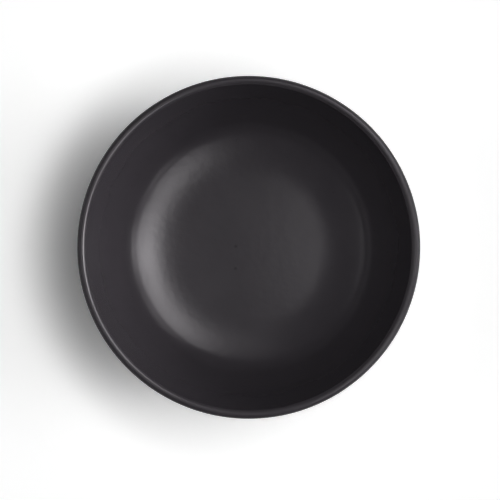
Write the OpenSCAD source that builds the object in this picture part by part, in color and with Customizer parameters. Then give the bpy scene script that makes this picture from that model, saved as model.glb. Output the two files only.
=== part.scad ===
// Glazed stoneware bowl with a flat well, a tight turn into a steep wall, a round lip and a foot ring.
// The origin is at the centre of the foot, on the table, with +Z up.
// Each piece is turned about +Z from an outline, and an outline is a chain of arcs without corners.

/* [Overall] */
// Outer diameter across the lip, with the glaze
rim_d = 160; // [144:1:184]
// Height from the table to the top of the lip
bowl_h = 55; // [49:0.5:64]

/* [Lip] */
// Thickness of the round lip, with the glaze
lip_t = 4.4; // [3.6:0.1:5.4]
// Slope of the inner wall at the lip, in degrees from level
inner_lip_slope = 75; // [71:0.5:81]
// Slope of the outer wall at the lip, in degrees from level
outer_lip_slope = 76; // [72:0.5:82]

/* [Inside] */
// Radius of the nearly flat well in the middle of the floor
well_r = 34; // [26:0.5:39]
// Slope of the floor at the edge of the well, in degrees
well_slope = 6; // [4:0.5:9]
// Slope of the floor where it starts to turn up, in degrees
floor_slope = 22; // [18:0.5:26]
// Radius of the turn between the floor and the inner wall
inner_turn_r = 15; // [10:0.5:21]
// Slope of the inner wall just above the turn, in degrees
inner_wall_slope = 57; // [52:0.5:62]

/* [Base and outside] */
// Thickness of the base at its centre, from the foot ring's seat to the inside
base_t = 4; // [3:0.1:6]
// Slope of the outside where it leaves the foot ring, in degrees
outer_foot_slope = 14; // [9:0.5:18]
// Slope of the outside where it starts to turn up, in degrees
outer_base_slope = 29; // [25:0.5:34]
// Radius of the turn between the base and the outer wall
outer_turn_r = 17; // [12:0.5:23]
// Slope of the outer wall just above the turn, in degrees
outer_wall_slope = 56; // [51:0.5:61]

/* [Foot ring] */
// Outer diameter of the foot ring where it meets the base
foot_d = 80; // [68:1:90]
// Height of the foot ring
foot_h = 5; // [4:0.1:7]
// Width of the foot ring where it meets the base
foot_w = 6; // [5.5:0.1:9]
// Radius of the edges beside the ground face
foot_round = 1; // [0.4:0.1:1.3]
// Lean of the ring's two sides from upright, in degrees
foot_lean = 10; // [2:0.5:12]

/* [Glaze] */
// Thickness of the glaze, the same on every glazed face
glaze_t = 0.3; // [0.2:0.05:0.6]

/* [Fineness] */
// Furthest that a flat step of an outline may lie from its true curve
curve_gap = 0.02; // [0.01:0.01:0.1]
// Number of sides of a turned piece
turned_sides = 180; // [60:12:240]

/* [Hidden] */

// Where the inside and the outside start
well_centre = [0, foot_h + base_t];
foot_corner = [foot_d / 2, foot_h];
foot_inner_r = foot_d / 2 - foot_w;

// The lip is a full round that both walls run into
lip_r = lip_t / 2;
lip_centre = [rim_d / 2 - lip_r, bowl_h - lip_r];
lip_start_angle = 90 + inner_lip_slope;
lip_end_angle = outer_lip_slope - 90;
function lip_point(angle, depth) = lip_centre + (lip_r - depth) * [cos(angle), sin(angle)];

// How far out and up an arc of radius 1 goes between two slopes
function unit_span(from, to) = [sin(to) - sin(from), cos(from) - cos(to)];

// Radii of two arcs that cover `gap` together, where `first` and `last` are their unit spans
function two_radii(gap, first, last) =
    let (det = first.x * last.y - last.x * first.y)
    [(gap.x * last.y - last.x * gap.y) / det, (first.x * gap.y - first.y * gap.x) / det];

// An arc of an outline is [radius, slope at its start, slope at its end].
// Inside are the well, the rest of the floor, the turn and the wall.
// The floor and the wall take the radii that bring the outline to the lip.
well_arc_r = well_r / sin(well_slope);
inner_gap = lip_point(lip_start_angle, 0) - well_centre
    - well_arc_r * unit_span(0, well_slope)
    - inner_turn_r * unit_span(floor_slope, inner_wall_slope);
inner_radii = two_radii(
    inner_gap,
    unit_span(well_slope, floor_slope),
    unit_span(inner_wall_slope, inner_lip_slope)
);
inner_arcs = [
    [well_arc_r, 0, well_slope],
    [inner_radii[0], well_slope, floor_slope],
    [inner_turn_r, floor_slope, inner_wall_slope],
    [inner_radii[1], inner_wall_slope, inner_lip_slope]
];

// Outside are the base beyond the foot ring, the turn and the wall
outer_gap = lip_point(lip_end_angle, 0) - foot_corner
    - outer_turn_r * unit_span(outer_base_slope, outer_wall_slope);
outer_radii = two_radii(
    outer_gap,
    unit_span(outer_foot_slope, outer_base_slope),
    unit_span(outer_wall_slope, outer_lip_slope)
);
outer_arcs = [
    [outer_radii[0], outer_foot_slope, outer_base_slope],
    [outer_turn_r, outer_base_slope, outer_wall_slope],
    [outer_radii[1], outer_wall_slope, outer_lip_slope]
];

// Number of flat steps that stand for an arc
function arc_steps(radius, turn) = ceil(turn / (2 * acos(1 - curve_gap / radius)));

// Points of a chain of arcs from arc i on, moved `shift` away from the arcs' centres.
// The last point of the chain is left out, because the lip holds it.
function chain(start, arcs, shift, i = 0) =
    i == len(arcs) ? [] : concat(
        arc_points(start, arcs[i][0], arcs[i][1], arcs[i][2], shift),
        chain(start + arcs[i][0] * unit_span(arcs[i][1], arcs[i][2]), arcs, shift, i + 1)
    );
function arc_points(start, radius, from, to, shift) =
    let (
        centre = start + radius * [-sin(from), cos(from)],
        steps = arc_steps(radius, to - from)
    )
    [for (i = [0 : steps - 1])
        let (slope = from + (to - from) * i / steps)
        centre + (radius + shift) * [sin(slope), -cos(slope)]];

// The three glazed faces of the bowl, `depth` under the surface of the glaze
function inner_face(depth) =
    concat(chain(well_centre, inner_arcs, depth), [lip_point(lip_start_angle, depth)]);
function outer_face(depth) =
    concat(chain(foot_corner, outer_arcs, -depth), [lip_point(lip_end_angle, depth)]);
function lip_face(depth) =
    let (
        turn = lip_start_angle - lip_end_angle,
        steps = arc_steps(lip_r, turn)
    )
    [for (i = [0 : steps]) lip_point(lip_start_angle - turn * i / steps, depth)];

// Rounded lower edge of the foot ring: side is 1 outside and -1 inside
function foot_edge(top_r, side) =
    let (
        inset = (foot_h - foot_round) * tan(foot_lean) + foot_round / cos(foot_lean),
        turn = 90 - foot_lean,
        steps = arc_steps(foot_round, turn)
    )
    [for (i = [0 : steps])
        let (angle = turn * i / steps)
        [top_r - side * (inset - foot_round * sin(angle)), foot_round * (1 - cos(angle))]];

function reversed(points) = [for (i = [len(points) - 1 : -1 : 0]) points[i]];

// Drops the ends of a run of points, which the runs beside it already hold
function inner_points(points) = [for (i = [1 : len(points) - 2]) points[i]];

// Turns an outline about the bowl's axis
module turned(outline) {
    rotate_extrude($fn = turned_sides) polygon(outline);
}

// The fired clay under the glaze, from the middle of the base to the core of the lip
module stoneware_body() {
    color("#6d6259") turned(concat(
        inner_face(glaze_t),
        inner_points(lip_face(glaze_t)),
        reversed(outer_face(glaze_t)),
        [foot_corner, [0, foot_h]]
    ));
}

// Bare ring of clay that the bowl stands on, ground flat underneath
module foot_ring() {
    color("#7d7166") turned(concat(
        foot_edge(foot_d / 2, 1),
        [foot_corner, [foot_inner_r, foot_h]],
        reversed(foot_edge(foot_inner_r, -1))
    ));
}

// Glaze poured into the inside, up to the lip
module inside_glaze() {
    color("#2d2c2e") turned(concat(inner_face(0), reversed(inner_face(glaze_t))));
}

// Glaze over the round of the lip, between the inside and the outside
module lip_glaze() {
    color("#343335") turned(concat(lip_face(0), reversed(lip_face(glaze_t))));
}

// Glaze on the outside, from the lip down to the foot ring
module outside_glaze() {
    color("#2b2a2c") turned(concat(outer_face(0), reversed(outer_face(glaze_t))));
}

// Glaze on the underside of the base, inside the foot ring
module base_glaze() {
    color("#29282a") translate([0, 0, foot_h - glaze_t])
        cylinder(h = glaze_t, r = foot_inner_r, $fn = turned_sides);
}

stoneware_body();
foot_ring();
inside_glaze();
lip_glaze();
outside_glaze();
base_glaze();
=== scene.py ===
# A glazed stoneware bowl, in the order that it was made: clay, foot ring, then the coats of glaze.
import math

import bpy
import numpy as np
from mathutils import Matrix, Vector


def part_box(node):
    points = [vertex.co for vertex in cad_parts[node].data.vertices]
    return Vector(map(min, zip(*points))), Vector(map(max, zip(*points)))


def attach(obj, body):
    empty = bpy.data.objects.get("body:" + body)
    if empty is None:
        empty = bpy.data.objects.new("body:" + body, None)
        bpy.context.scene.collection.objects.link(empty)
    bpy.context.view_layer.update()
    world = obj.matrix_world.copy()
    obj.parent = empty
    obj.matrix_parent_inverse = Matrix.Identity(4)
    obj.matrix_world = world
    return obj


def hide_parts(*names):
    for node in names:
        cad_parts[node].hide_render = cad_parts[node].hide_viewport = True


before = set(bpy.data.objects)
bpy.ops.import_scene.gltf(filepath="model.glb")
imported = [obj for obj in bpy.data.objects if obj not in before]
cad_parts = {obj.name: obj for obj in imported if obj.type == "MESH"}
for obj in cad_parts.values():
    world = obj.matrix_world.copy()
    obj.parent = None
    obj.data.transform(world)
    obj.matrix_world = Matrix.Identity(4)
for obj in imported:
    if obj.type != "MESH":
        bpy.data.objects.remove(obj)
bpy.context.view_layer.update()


# Stoneware body
# The wall and base are grey-brown stoneware clay, thrown in one piece and fired to 1220 degrees C.
# The glaze covers them, apart from a hairline beside the foot ring where the glaze drew back.
clay_colour = "#85776a"
clay_shade = "#6a5d52"
iron_colour = "#2e2620"
worn_colour = "#2c2822"
worn_z = 0.0003
clay_roughness = 0.9
clay_ior = 1.5
# Clouds in the clay are 6 mm across and the grog is 0.7 mm. The iron specks lie about 2 mm apart
# and are up to 1 mm wide: their core and edge are shares of the spacing.
clay_cloud_size = 0.006
grog_size = 0.0007
grog_height = 0.00003
iron_spacing = 0.0021
iron_speck_core = 0.13
iron_speck_edge = 0.26


def linear(hex_colour):
    """An sRGB hex colour as linear red, green, blue and alpha."""
    channels = [int(hex_colour[i:i + 2], 16) / 255 for i in (1, 3, 5)]
    return [c / 12.92 if c <= 0.04045 else ((c + 0.055) / 1.055) ** 2.4 for c in channels] + [1]


def add(tree, kind, settings, inputs):
    """Adds a node. Settings are its properties, and inputs are values or other nodes' outputs."""
    node = tree.nodes.new(kind)
    for name, value in settings.items():
        setattr(node, name, value)
    for key, value in inputs.items():
        if isinstance(value, bpy.types.NodeSocket):
            tree.links.new(value, node.inputs[key])
        else:
            node.inputs[key].default_value = value
    return node


def empty_material(name):
    """A material with a Principled surface and its output, and the Object coordinates."""
    material = bpy.data.materials.new(name)
    material.use_nodes = True
    tree = material.node_tree
    tree.nodes.clear()
    surface = tree.nodes.new("ShaderNodeBsdfPrincipled")
    add(tree, "ShaderNodeOutputMaterial", {}, {"Surface": surface.outputs[0]})
    place = add(tree, "ShaderNodeTexCoord", {}, {}).outputs["Object"]
    return material, tree, surface, place


def stoneware_clay(name):
    """Unglazed fired clay: matt, cloudy grey-brown, rough with grog and specked with burnt iron."""
    material, tree, surface, place = empty_material(name)
    cloud = add(tree, "ShaderNodeTexNoise", {},
                {"Vector": place, "Scale": 1 / clay_cloud_size, "Detail": 4})
    clay = add(tree, "ShaderNodeMix", {"data_type": "RGBA"},
               {0: cloud.outputs[0], 6: linear(clay_shade), 7: linear(clay_colour)})
    iron = add(tree, "ShaderNodeTexVoronoi", {}, {"Vector": place, "Scale": 1 / iron_spacing})
    speck = add(tree, "ShaderNodeMapRange", {},
                {0: iron.outputs["Distance"], 1: iron_speck_core, 2: iron_speck_edge, 3: 1, 4: 0})
    specked = add(tree, "ShaderNodeMix", {"data_type": "RGBA"},
                  {0: speck.outputs[0], 6: clay.outputs[2], 7: linear(iron_colour)})
    grog = add(tree, "ShaderNodeTexNoise", {},
               {"Vector": place, "Scale": 1 / grog_size, "Detail": 3})
    # The ground face is worn paler than the rest
    height = add(tree, "ShaderNodeSeparateXYZ", {}, {0: place}).outputs["Z"]
    ground = add(tree, "ShaderNodeMapRange", {}, {0: height, 1: 0, 2: worn_z, 3: 1, 4: 0})
    paler = add(tree, "ShaderNodeMix", {"data_type": "RGBA", "blend_type": "SCREEN"},
                {0: ground.outputs[0], 6: specked.outputs[2], 7: linear(worn_colour)})
    bump = add(tree, "ShaderNodeBump", {}, {"Height": grog.outputs[0], "Distance": grog_height})
    tree.links.new(paler.outputs[2], surface.inputs["Base Color"])
    tree.links.new(bump.outputs[0], surface.inputs["Normal"])
    surface.inputs["Roughness"].default_value = clay_roughness
    surface.inputs["IOR"].default_value = clay_ior
    return material


bare_clay = stoneware_clay("fired_stoneware_clay")
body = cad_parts["stoneware_body"]
body.data.materials.clear()
body.data.materials.append(bare_clay)


# Foot ring
# A low ring of the same clay, turned with the bowl upside down and wiped clean of glaze.
# Its sides keep the fine grooves of the turning tool, and the face that it stands on is ground.
foot_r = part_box("foot_ring")[1].x
foot_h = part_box("foot_ring")[1].z
foot_inner_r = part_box("base_glaze")[1].x
foot_round = 0.001
foot_lean = math.radians(10)
foot_round_steps = 8
groove_pitch = 0.0008
groove_depth = 0.00005
groove_steps = 5
wheel_sides = 360
wheel_circle_r = 0.1
weld_gap = 0.000001
corner_angle = math.radians(40)
warp_depth = 0.00012
warp_size = 0.045
warp_seed = 3.0
warp_from_z = 0.006
warp_full_z = 0.02
edge_reach = 0.004
edge_wave_size = 0.011


def wheel_nodes():
    """Geometry Nodes that turn an outline in the XZ plane about +Z, and warp it as a kiln does."""
    tree = bpy.data.node_groups.new("potters_wheel", "GeometryNodeTree")
    inputs = (
        ("Outline", "NodeSocketGeometry", None),
        ("Sides", "NodeSocketInt", wheel_sides),
        ("Warp depth", "NodeSocketFloat", warp_depth),
        ("Warp size", "NodeSocketFloat", warp_size),
        ("Seed", "NodeSocketFloat", warp_seed),
        ("Edge radius", "NodeSocketFloat", foot_r),
        ("Edge slide", "NodeSocketFloat", 0.0),
        ("Edge slope", "NodeSocketFloat", 0.0),
        ("Material", "NodeSocketMaterial", None),
    )
    for name, kind, value in inputs:
        socket = tree.interface.new_socket(name, in_out="INPUT", socket_type=kind)
        if value is not None:
            socket.default_value = value
    tree.interface.new_socket("Ware", in_out="OUTPUT", socket_type="NodeSocketGeometry")
    given = add(tree, "NodeGroupInput", {}, {}).outputs

    # The outline is swept round a circle, and shifted by its radius so that it turns about the axis
    laid_down = add(tree, "GeometryNodeTransform", {}, {
        0: given["Outline"],
        "Translation": (-wheel_circle_r, 0, 0), "Rotation": (math.pi / 2, 0, 0)})
    outline = add(tree, "GeometryNodeMeshToCurve", {}, {0: laid_down.outputs[0]})
    circle = add(tree, "GeometryNodeCurvePrimitiveCircle", {},
                 {"Resolution": given["Sides"], "Radius": wheel_circle_r})
    swept = add(tree, "GeometryNodeCurveToMesh", {},
                {"Curve": circle.outputs[0], "Profile Curve": outline.outputs[0]})
    # The sweep leaves the faces pointing inwards, and its seam and poles open
    facing = add(tree, "GeometryNodeFlipFaces", {}, {0: swept.outputs[0]})
    welded = add(tree, "GeometryNodeMergeByDistance", {},
                 {0: facing.outputs[0], "Distance": weld_gap})

    # The edge of a coat of glaze slides along its surface by an uneven amount
    place = add(tree, "GeometryNodeInputPosition", {}, {}).outputs[0]
    parts = add(tree, "ShaderNodeSeparateXYZ", {}, {0: place}).outputs
    across = add(tree, "ShaderNodeCombineXYZ", {}, {0: parts[0], 1: parts[1]}).outputs[0]
    radius = add(tree, "ShaderNodeVectorMath", {"operation": "LENGTH"},
                 {0: across}).outputs["Value"]
    from_edge = add(tree, "ShaderNodeMath", {"operation": "SUBTRACT"},
                    {0: radius, 1: given["Edge radius"]})
    apart = add(tree, "ShaderNodeMath", {"operation": "ABSOLUTE"}, {0: from_edge.outputs[0]})
    near = add(tree, "ShaderNodeMapRange", {"interpolation_type": "SMOOTHSTEP"},
               {0: apart.outputs[0], 1: 0, 2: edge_reach, 3: 1, 4: 0})
    edge_noise = add(tree, "ShaderNodeTexNoise", {"noise_dimensions": "4D"}, {
        "Vector": place, "W": given["Seed"], "Scale": 1 / edge_wave_size, "Detail": 3})
    slide = add(tree, "ShaderNodeMath", {"operation": "MULTIPLY"},
                {0: edge_noise.outputs[0], 1: given["Edge slide"]})
    slide_here = add(tree, "ShaderNodeMath", {"operation": "MULTIPLY"},
                     {0: slide.outputs[0], 1: near.outputs[0]})
    outward = add(tree, "ShaderNodeVectorMath", {"operation": "NORMALIZE"}, {0: across}).outputs[0]
    climb = add(tree, "ShaderNodeMath", {"operation": "TANGENT"},
                {0: given["Edge slope"]}).outputs[0]
    upward = add(tree, "ShaderNodeCombineXYZ", {}, {2: climb}).outputs[0]
    along = add(tree, "ShaderNodeVectorMath", {"operation": "ADD"},
                {0: outward, 1: upward}).outputs[0]
    edge_move = add(tree, "ShaderNodeVectorMath", {"operation": "SCALE"},
                    {0: along, "Scale": slide_here.outputs[0]})
    edged = add(tree, "GeometryNodeSetPosition", {},
                {0: welded.outputs[0], "Offset": edge_move.outputs[0]})

    # The pot shrinks unevenly in the kiln, inwards and down, but the foot stays flat
    warp_scale = add(tree, "ShaderNodeMath", {"operation": "DIVIDE"},
                     {0: 1.0, 1: given["Warp size"]})
    warp_noise = add(tree, "ShaderNodeTexNoise", {"noise_dimensions": "4D"}, {
        "Vector": place, "W": given["Seed"], "Scale": warp_scale.outputs[0], "Detail": 1})
    shares = add(tree, "ShaderNodeSeparateXYZ", {}, {0: warp_noise.outputs["Color"]}).outputs
    lifted = add(tree, "ShaderNodeMapRange", {"interpolation_type": "SMOOTHSTEP"},
                 {0: parts[2], 1: warp_from_z, 2: warp_full_z, 3: 0, 4: given["Warp depth"]})
    inward = add(tree, "ShaderNodeVectorMath", {"operation": "SCALE"},
                 {0: outward, "Scale": shares[0]})
    sunk = add(tree, "ShaderNodeCombineXYZ", {}, {2: shares[1]})
    drawn = add(tree, "ShaderNodeVectorMath", {"operation": "ADD"},
                {0: inward.outputs[0], 1: sunk.outputs[0]})
    shrunk = add(tree, "ShaderNodeMath", {"operation": "MULTIPLY"}, {0: lifted.outputs[0], 1: -1})
    warp = add(tree, "ShaderNodeVectorMath", {"operation": "SCALE"},
               {0: drawn.outputs[0], "Scale": shrunk.outputs[0]})
    warped = add(tree, "GeometryNodeSetPosition", {},
                 {0: edged.outputs[0], "Offset": warp.outputs[0]})

    smooth = add(tree, "GeometryNodeSetShadeSmooth", {}, {0: warped.outputs[0]})
    real = add(tree, "GeometryNodeRealizeInstances", {}, {0: smooth.outputs[0]})
    dressed = add(tree, "GeometryNodeSetMaterial", {},
                  {0: real.outputs[0], "Material": given["Material"]})
    add(tree, "NodeGroupOutput", {}, {0: dressed.outputs[0]})
    return tree


wheel = wheel_nodes()


def turned(name, outline, settings):
    """Turns an outline of (radius, height) points, anticlockwise, into a plain mesh piece."""
    links = [(i, i + 1) for i in range(len(outline) - 1)]
    if outline[0][0] > 0:
        links.append((len(outline) - 1, 0))
    drawing = bpy.data.meshes.new(name + "_outline")
    drawing.from_pydata([(r, 0, z) for r, z in outline], links, [])
    piece = bpy.data.objects.new(name, drawing)
    bpy.context.scene.collection.objects.link(piece)
    modifier = piece.modifiers.new("wheel", "NODES")
    modifier.node_group = wheel
    for socket in wheel.interface.items_tree:
        if socket.name in settings:
            modifier[socket.identifier] = settings[socket.name]
    evaluated = piece.evaluated_get(bpy.context.evaluated_depsgraph_get())
    mesh = bpy.data.meshes.new_from_object(evaluated)
    piece.modifiers.remove(modifier)
    piece.data = mesh
    mesh.name = name
    mesh.set_sharp_from_angle(angle=corner_angle)
    bpy.data.meshes.remove(drawing)
    return piece


def foot_side(top_r, side):
    """One side of the ring from its ground face up to its seat. Side is 1 outside and -1 inside."""
    inset = (foot_h - foot_round) * math.tan(foot_lean) + foot_round / math.cos(foot_lean)
    turn = math.pi / 2 - foot_lean
    points = []
    for i in range(foot_round_steps + 1):
        angle = turn * i / foot_round_steps
        points.append((top_r - side * (inset - foot_round * math.sin(angle)),
                       foot_round * (1 - math.cos(angle))))
    low_z = points[-1][1]
    grooves = int((foot_h - low_z) / groove_pitch)
    steps = grooves * groove_steps
    for i in range(1, steps + 1):
        z = low_z + (foot_h - low_z) * i / steps
        cut = groove_depth * (1 - math.cos(math.tau * grooves * i / steps)) / 2
        points.append((top_r - side * ((foot_h - z) * math.tan(foot_lean) + cut), z))
    return points


foot_ring = turned("turned_foot_ring", foot_side(foot_inner_r, -1)[::-1] + foot_side(foot_r, 1),
                   {"Material": bare_clay})
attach(foot_ring, "root")
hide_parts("foot_ring")


# Inside glaze
# A satin black glaze, coloured by iron and manganese, poured in and swilled round before firing.
# It dries to an even coat and fires to a smooth skin with a soft shine and two small pinholes.
rim_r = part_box("lip_glaze")[1].x
bowl_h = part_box("lip_glaze")[1].z
glaze_t = foot_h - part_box("base_glaze")[0].z
lip_t = 0.0044
inner_lip_slope = math.radians(75)
outer_lip_slope = math.radians(76)
well_r = 0.034
well_slope = math.radians(6)
floor_slope = math.radians(22)
inner_turn_r = 0.015
inner_wall_slope = math.radians(57)
face_step = 0.0009
hidden_step = 0.003
fine_step = 0.00025
fine_r = 0.0125
pinholes = ((-0.0064, 0.0006), (-0.0064, -0.0103))
pinhole_r = 0.0012
pinhole_depth = 0.00003
glaze_colour = "#383539"
glaze_shade = "#333034"
# The dark colour painted into pits and pinholes as their shade
pit_shade_colour = "#222023"
glaze_roughness = 0.245
roughness_spread = 0.015
glaze_ior = 1.5
# Clouds in the glaze are 14 mm across, and the soft waves of a poured coat 4 mm. The crystals that
# blur its shine are under 0.05 mm, too fine to show, and are drawn as a grain of about 1 mm.
glaze_cloud_size = 0.014
glaze_cloud_roughness = 0.6
cloud_low = 0.3
cloud_high = 0.7
peel_size = 0.004
peel_height = 0.00008
grain_size = 0.0011
grain_height = 0.000006
smooth_from_z = 0.016
smooth_full_z = 0.022
smooth_share = 0.15
# Pits are up to 0.45 mm wide, with about one to every two square centimetres of the surface.
# Their core and edge are shares of the spacing.
pit_spacing = 0.0045
pit_core = 0.025
pit_edge = 0.05

well_centre = Vector((0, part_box("inside_glaze")[0].z + glaze_t))
lip_r = lip_t / 2
lip_centre = Vector((rim_r - lip_r, bowl_h - lip_r))
lip_start_angle = math.pi / 2 + inner_lip_slope
lip_end_angle = outer_lip_slope - math.pi / 2


def lip_point(angle, depth):
    """A point on the round of the lip, some depth under the surface of the glaze."""
    return lip_centre + (lip_r - depth) * Vector((math.cos(angle), math.sin(angle)))


def unit_span(start, end):
    """How far out and up an arc of radius 1 goes between two slopes."""
    return Vector((math.sin(end) - math.sin(start), math.cos(start) - math.cos(end)))


def two_radii(gap, first, last):
    """Radii of two arcs that cover a gap together, where first and last are their unit spans."""
    det = first.x * last.y - last.x * first.y
    return (gap.x * last.y - last.x * gap.y) / det, (first.x * gap.y - first.y * gap.x) / det


def face_points(start, arcs, shift, step):
    """Points of a chain of arcs (radius, first slope, last slope), moved outwards by shift."""
    points = []
    for radius, first, last in arcs:
        centre = start + radius * Vector((-math.sin(first), math.cos(first)))
        count = max(2, math.ceil(radius * (last - first) / step))
        for i in range(count):
            slope = first + (last - first) * i / count
            points.append(centre + (radius + shift) * Vector((math.sin(slope), -math.cos(slope))))
        start = start + radius * unit_span(first, last)
    return points


well_arc_r = well_r / math.sin(well_slope)
fine_slope = math.asin(fine_r / well_arc_r)
inner_gap = (lip_point(lip_start_angle, 0) - well_centre - well_arc_r * unit_span(0, well_slope)
             - inner_turn_r * unit_span(floor_slope, inner_wall_slope))
floor_arc_r, inner_wall_arc_r = two_radii(
    inner_gap, unit_span(well_slope, floor_slope), unit_span(inner_wall_slope, inner_lip_slope))
inner_arcs = (
    (well_arc_r, 0, well_slope),
    (floor_arc_r, well_slope, floor_slope),
    (inner_turn_r, floor_slope, inner_wall_slope),
    (inner_wall_arc_r, inner_wall_slope, inner_lip_slope),
)


def satin_glaze(name, roughness, ior):
    """Satin black glaze: fine crystals in its skin blur the shine, over a clouded black."""
    material, tree, surface, place = empty_material(name)
    cloud = add(tree, "ShaderNodeTexNoise", {}, {
        "Vector": place, "Scale": 1 / glaze_cloud_size, "Detail": 3,
        "Roughness": glaze_cloud_roughness})
    colour = add(tree, "ShaderNodeMix", {"data_type": "RGBA"},
                 {0: cloud.outputs[0], 6: linear(glaze_shade), 7: linear(glaze_colour)})
    # Pits and pinholes, where gas left the molten glaze, are painted darker than the skin round
    # them, as shade in their hollows
    cells = add(tree, "ShaderNodeTexVoronoi", {}, {"Vector": place, "Scale": 1 / pit_spacing})
    pit = add(tree, "ShaderNodeMapRange", {"interpolation_type": "SMOOTHSTEP"},
              {0: cells.outputs["Distance"], 1: pit_core, 2: pit_edge, 3: 1, 4: 0})
    pinhole = add(tree, "ShaderNodeAttribute", {"attribute_name": "pinhole"}, {}).outputs["Fac"]
    hollow = add(tree, "ShaderNodeMath", {"operation": "MAXIMUM"},
                 {0: pit.outputs[0], 1: pinhole}).outputs[0]
    pit_shaded = add(tree, "ShaderNodeMix", {"data_type": "RGBA"},
                 {0: hollow, 6: colour.outputs[2], 7: linear(pit_shade_colour)})
    # The skin's own grain, and the soft unevenness of a coat that gathered low down as it melted
    grain = add(tree, "ShaderNodeTexNoise", {},
                {"Vector": place, "Scale": 1 / grain_size, "Detail": 2})
    peel = add(tree, "ShaderNodeTexNoise", {},
               {"Vector": place, "Scale": 1 / peel_size, "Detail": 2})
    rise = add(tree, "ShaderNodeSeparateXYZ", {}, {0: place}).outputs["Z"]
    gathered = add(tree, "ShaderNodeMapRange", {},
                   {0: rise, 1: smooth_from_z, 2: smooth_full_z, 3: 1, 4: smooth_share})
    soft = add(tree, "ShaderNodeBump", {}, {
        "Strength": gathered.outputs[0], "Height": peel.outputs[0], "Distance": peel_height})
    fine = add(tree, "ShaderNodeBump", {}, {
        "Strength": gathered.outputs[0], "Height": grain.outputs[0], "Distance": grain_height,
        "Normal": soft.outputs[0]})
    shine = add(tree, "ShaderNodeMapRange", {}, {
        0: cloud.outputs[0], 1: cloud_low, 2: cloud_high,
        3: roughness - roughness_spread, 4: roughness + roughness_spread})
    tree.links.new(pit_shaded.outputs[2], surface.inputs["Base Color"])
    tree.links.new(shine.outputs[0], surface.inputs["Roughness"])
    tree.links.new(fine.outputs[0], surface.inputs["Normal"])
    surface.inputs["IOR"].default_value = ior
    return material


black_glaze = satin_glaze("satin_black_glaze", glaze_roughness, glaze_ior)
exposed = [p for p in face_points(well_centre, inner_arcs, 0, face_step) if p.x > fine_r]
middle = face_points(well_centre, ((well_arc_r, 0, fine_slope),), 0, fine_step)
hidden = face_points(well_centre, inner_arcs, glaze_t, hidden_step)
inside_outline = (hidden + [lip_point(lip_start_angle, glaze_t), lip_point(lip_start_angle, 0)]
                  + exposed[::-1] + middle[::-1])
inside = turned("poured_inside_glaze", inside_outline, {"Material": black_glaze})

# A pinhole is where a gas bubble broke through the molten glaze
spots = np.empty(len(inside.data.vertices) * 3)
inside.data.vertices.foreach_get("co", spots)
spots = spots.reshape(-1, 3)
pinhole_share = np.zeros(len(spots))
on_face = spots[:, 2] > well_centre.y - glaze_t / 2
for x, y in pinholes:
    away = np.hypot(spots[:, 0] - x, spots[:, 1] - y) / pinhole_r
    pinhole_share += np.where(on_face, np.clip(1 - away ** 2, 0, 1) ** 2, 0)
spots[:, 2] -= pinhole_depth * pinhole_share
inside.data.vertices.foreach_set("co", spots.ravel())
# The pinhole share is kept on the mesh, and the glaze paints shade into the hollows with it
inside.data.attributes.new("pinhole", "FLOAT", "POINT").data.foreach_set("value", pinhole_share)
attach(inside, "root")
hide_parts("inside_glaze")


# Lip glaze
# The inside and outside coats meet over the round of the lip, where the bowl is dipped a last time.
# The round draws the molten glaze thin, and it cools there with a slightly brighter shine.
lip_step = math.radians(2.5)
lip_hidden_step = math.radians(12)
lip_roughness = 0.2
lip_ior = 1.7


def lip_points(depth, step):
    """The round of the lip from the inner wall over to the outer wall."""
    turn = lip_start_angle - lip_end_angle
    count = math.ceil(turn / step)
    return [lip_point(lip_start_angle - turn * i / count, depth) for i in range(count + 1)]


thin_glaze = satin_glaze("satin_black_glaze_drawn_thin", lip_roughness, lip_ior)
lip_outline = lip_points(glaze_t, lip_hidden_step) + lip_points(0, lip_step)[::-1]
lip = turned("dipped_lip_glaze", lip_outline, {"Material": thin_glaze})
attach(lip, "root")
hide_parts("lip_glaze")


# Outside glaze
# The same glaze, from dipping the bowl upside down, from the lip to the foot ring.
# It is wiped back from the foot, and its edge draws up a little unevenly as it melts.
outer_foot_slope = math.radians(14)
outer_base_slope = math.radians(29)
outer_turn_r = 0.017
outer_wall_slope = math.radians(56)
edge_round_steps = 6
edge_slide = 0.0012
foot_corner = Vector((foot_r, foot_h))
outer_gap = (lip_point(lip_end_angle, 0) - foot_corner
             - outer_turn_r * unit_span(outer_base_slope, outer_wall_slope))
base_arc_r, outer_wall_arc_r = two_radii(
    outer_gap,
    unit_span(outer_foot_slope, outer_base_slope), unit_span(outer_wall_slope, outer_lip_slope))
outer_arcs = (
    (base_arc_r, outer_foot_slope, outer_base_slope),
    (outer_turn_r, outer_base_slope, outer_wall_slope),
    (outer_wall_arc_r, outer_wall_slope, outer_lip_slope),
)


def rounded_edge(corner, slope, side):
    """The thinning edge of a coat, from clay to face. Side is 1 where the coat is outside it."""
    along = Vector((math.cos(slope), math.sin(slope)))
    down = Vector((math.sin(slope), -math.cos(slope)))
    points = []
    for i in range(1, edge_round_steps):
        angle = math.pi / 2 * i / edge_round_steps
        points.append(corner + side * glaze_t * (1 - math.sin(angle)) * along
                      - glaze_t * math.cos(angle) * down)
    return points


outer_face = face_points(foot_corner, outer_arcs, 0, face_step)
outer_clay = face_points(foot_corner, outer_arcs, -glaze_t, hidden_step)
outer_outline = (rounded_edge(foot_corner, outer_foot_slope, 1) + outer_face[1:]
                 + [lip_point(lip_end_angle, 0), lip_point(lip_end_angle, glaze_t)]
                 + outer_clay[::-1])
outside = turned("dipped_outside_glaze", outer_outline, {
    "Material": black_glaze, "Edge slide": edge_slide, "Edge slope": outer_foot_slope})
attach(outside, "root")
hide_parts("outside_glaze")


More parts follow.
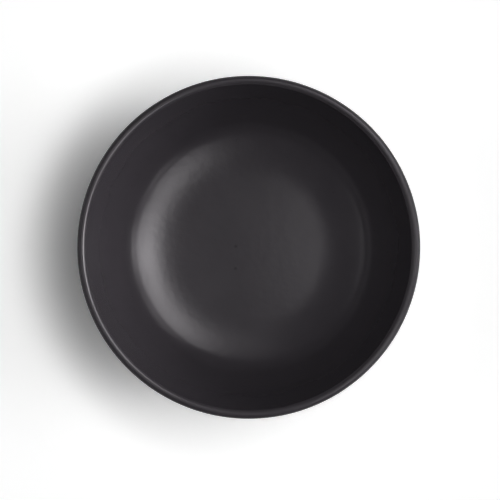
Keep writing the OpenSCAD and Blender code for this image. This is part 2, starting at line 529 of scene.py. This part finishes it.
# Base glaze
# A brushed coat on the underside, inside the foot ring, that keeps water out of the base.
# It stops just short of the ring in an uneven line, with a rounded edge.
base_slide = 0.0008
disc_ring_count = 24
disc_rings = [foot_inner_r * (1 - i / disc_ring_count) for i in range(1, disc_ring_count)]
disc_edge = rounded_edge(Vector((foot_inner_r, foot_h - glaze_t)), 0, -1)
base_outline = ([(0, foot_h - glaze_t)] + [(r, foot_h - glaze_t) for r in disc_rings[::-1]]
                + [tuple(p) for p in disc_edge[::-1]] + [(foot_inner_r, foot_h), (0, foot_h)])
base = turned("brushed_base_glaze", base_outline,
              {"Material": black_glaze, "Edge radius": foot_inner_r, "Edge slide": -base_slide})
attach(base, "root")
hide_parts("base_glaze")


# Camera
# It looks straight down on the bowl from about 0.7 m, a little right of its axis and below it.
lens_to_lip = 0.68
image_px = 500
lip_px = 171.8
axis_px = (248.7, 247.3)
px_size = rim_r / lip_px
camera_data = bpy.data.cameras.new("camera")
camera = bpy.data.objects.new("camera", camera_data)
bpy.context.scene.collection.objects.link(camera)
camera.location = ((image_px / 2 - axis_px[0]) * px_size, (axis_px[1] - image_px / 2) * px_size,
                   lip_centre.y + lens_to_lip)
camera_data.lens = camera_data.sensor_width * lens_to_lip / (image_px * px_size)
bpy.context.scene.camera = camera


# Lamps
# A gridded key softbox high on the right, with wings and skirts round it, makes the crescent.
# Some lamps light only the matt colours, and others are seen only as shine.
aim_z = 0.04
shine_colour = "#fffbff"
# A lamp has its angle from the vertical, its direction round the bowl from +X, its depth and width
# as angles, its distance, the X that it is aimed at, its spread and its brightness
wash_lamps = {
    "overhead_softbox": (20, 0, 24, 60, 1.0, 0, 180, 4.7),
    "upper_softbox": (27, 60, 22, 50, 1.0, 0, 180, 4.9),
    "lower_softbox": (27, -60, 22, 50, 1.0, 0, 180, 4.4),
    "side_panel": (66, 8, 50, 90, 1.0, 0, 180, 2.0),
    "left_panel": (60, 180, 50, 64, 1.0, 0, 180, 0.95),
    "wall_strip": (75, 0, 30, 90, 0.5, -0.06, 40, 0.8),
    "wall_softbox": (32, 2, 19, 56, 0.4, -0.07, 60, 1.2),
    "right_wall_softbox": (55, 180, 24, 60, 0.4, 0.07, 36, 0.14),
}
shine_lamps = {
    "key_softbox": (34.5, 2, 19, 56, 0.4, -0.07, 36, 0.38),
    "key_upper_wing": (36, 34, 26, 52, 0.4, -0.07, 50, 0.47),
    "key_lower_wing": (34, -34, 24, 50, 0.4, -0.07, 50, 0.36),
    "key_upper_end": (26, 74, 24, 50, 0.4, -0.02, 60, 0.07),
    "key_skirt": (44, 2, 24, 70, 0.4, -0.07, 30, 0.13),
    "low_skirt": (60, 2, 30, 80, 0.4, -0.07, 30, 0.1),
    "low_upper_skirt": (58, 34, 30, 60, 0.4, -0.06, 40, 0.09),
    "low_lower_skirt": (58, -34, 30, 60, 0.4, -0.06, 40, 0.07),
    "overhead_scrim": (8, 180, 10, 30, 1.0, 0, 180, 3.3),
    "left_screen": (48, 180, 32, 60, 1.0, 0, 180, 0.5),
}


def softbox(name, from_vertical, direction, depth, width, distance, aim_x, spread, brightness):
    """A lamp with a cloth that is brightest at its middle, aimed over the bowl."""
    tilt = math.radians(from_vertical)
    turn = math.radians(direction)
    back = Vector((math.sin(tilt) * math.cos(turn), math.sin(tilt) * math.sin(turn),
                   math.cos(tilt)))
    data = bpy.data.lights.new(name, "AREA")
    data.shape = "RECTANGLE"
    data.size = 2 * distance * math.tan(math.radians(depth / 2))
    data.size_y = 2 * distance * math.tan(math.radians(width / 2))
    data.energy = math.pi * data.size * data.size_y * brightness
    data.spread = math.radians(spread)
    data.use_nodes = True
    tree = data.node_tree
    tree.nodes.clear()
    # Parametric runs from 0 to 1 each way over the cloth, so its middle is at 0.5
    cloth = add(tree, "ShaderNodeNewGeometry", {}, {}).outputs["Parametric"]
    parts = add(tree, "ShaderNodeSeparateXYZ", {}, {0: cloth}).outputs
    falls = []
    for part in (parts[0], parts[1]):
        fall = add(tree, "ShaderNodeMath", {"operation": "PINGPONG"}, {0: part, 1: 0.5})
        falls.append(add(tree, "ShaderNodeMapRange", {"interpolation_type": "SMOOTHSTEP"},
                         {0: fall.outputs[0], 1: 0, 2: 0.5, 3: 0, 4: 1}).outputs[0])
    both = add(tree, "ShaderNodeMath", {"operation": "MULTIPLY"}, {0: falls[0], 1: falls[1]})
    glow = add(tree, "ShaderNodeEmission", {}, {"Strength": both.outputs[0]})
    add(tree, "ShaderNodeOutputLight", {}, {0: glow.outputs[0]})
    lamp = bpy.data.objects.new(name, data)
    bpy.context.scene.collection.objects.link(lamp)
    lamp.location = Vector((aim_x, 0, aim_z)) + distance * back
    lamp.rotation_euler = (0, tilt, turn)
    lamp.visible_camera = False
    return lamp


for name, settings in wash_lamps.items():
    softbox(name, *settings).visible_glossy = False
for name, settings in shine_lamps.items():
    lamp = softbox(name, *settings)
    lamp.visible_diffuse = False
    lamp.data.color = linear(shine_colour)[:3]


# Floor and surroundings
# A matt white table that takes the bowl's shadow, and white surroundings down at its level.
floor_colour = 0.9
floor_seen = 1.5
white_from_r = 0.1
white_full_r = 0.2
floor_half = 6
world_fill = 0.02
horizon_glow = math.radians(5)
floor_mesh = bpy.data.meshes.new("table_top")
corners = [(-floor_half, -floor_half, 0), (floor_half, -floor_half, 0),
           (floor_half, floor_half, 0), (-floor_half, floor_half, 0)]
floor_mesh.from_pydata(corners, [], [(0, 1, 2, 3)])
floor = bpy.data.objects.new("table_top", floor_mesh)
bpy.context.scene.collection.objects.link(floor)


def white_table():
    """Matt white that is seen a little brighter than it is lit, and pure white far off."""
    material = bpy.data.materials.new("matt_white_table")
    material.use_nodes = True
    tree = material.node_tree
    tree.nodes.clear()
    looked_at = add(tree, "ShaderNodeLightPath", {}, {}).outputs["Is Camera Ray"]
    grey = add(tree, "ShaderNodeMapRange", {},
               {0: looked_at, 1: 0, 2: 1, 3: floor_colour, 4: floor_seen})
    lit = add(tree, "ShaderNodeBsdfDiffuse", {}, {"Color": grey.outputs[0]})
    place = add(tree, "ShaderNodeTexCoord", {}, {}).outputs["Object"]
    radius = add(tree, "ShaderNodeVectorMath", {"operation": "LENGTH"}, {0: place}).outputs["Value"]
    far = add(tree, "ShaderNodeMapRange", {"interpolation_type": "SMOOTHSTEP"},
              {0: radius, 1: white_from_r, 2: white_full_r, 3: 0, 4: 1})
    far_seen = add(tree, "ShaderNodeMath", {"operation": "MULTIPLY"},
                   {0: far.outputs[0], 1: looked_at})
    white = add(tree, "ShaderNodeEmission", {}, {"Strength": 1.0})
    both = add(tree, "ShaderNodeMixShader", {},
               {0: far_seen.outputs[0], 1: lit.outputs[0], 2: white.outputs[0]})
    add(tree, "ShaderNodeOutputMaterial", {}, {"Surface": both.outputs[0]})
    return material


def white_room():
    """White to the camera, and in reflections only near the horizon, under a dark ceiling."""
    world = bpy.data.worlds.new("studio")
    world.use_nodes = True
    tree = world.node_tree
    tree.nodes.clear()
    ray = add(tree, "ShaderNodeLightPath", {}, {}).outputs
    mirrored = add(tree, "ShaderNodeMath", {"operation": "MAXIMUM"},
                   {0: ray["Is Glossy Ray"], 1: ray["Is Transmission Ray"]})
    direction = add(tree, "ShaderNodeTexCoord", {}, {}).outputs["Generated"]
    rise = add(tree, "ShaderNodeSeparateXYZ", {}, {0: direction}).outputs["Z"]
    low = add(tree, "ShaderNodeMapRange", {"interpolation_type": "SMOOTHSTEP"},
              {0: rise, 1: 0, 2: math.sin(horizon_glow), 3: 1, 4: world_fill})
    glow = add(tree, "ShaderNodeMath", {"operation": "MULTIPLY"},
               {0: mirrored.outputs[0], 1: low.outputs[0]})
    white = add(tree, "ShaderNodeMath", {"operation": "MAXIMUM"},
                {0: ray["Is Camera Ray"], 1: glow.outputs[0]})
    strength = add(tree, "ShaderNodeMath", {"operation": "MAXIMUM"},
                   {0: white.outputs[0], 1: world_fill})
    sky = add(tree, "ShaderNodeBackground", {},
              {"Color": (1, 1, 1, 1), "Strength": strength.outputs[0]})
    add(tree, "ShaderNodeOutputWorld", {}, {"Surface": sky.outputs[0]})
    return world


floor_mesh.materials.append(white_table())
bpy.context.scene.world = white_room()
bpy.context.scene.view_settings.view_transform = "Standard"
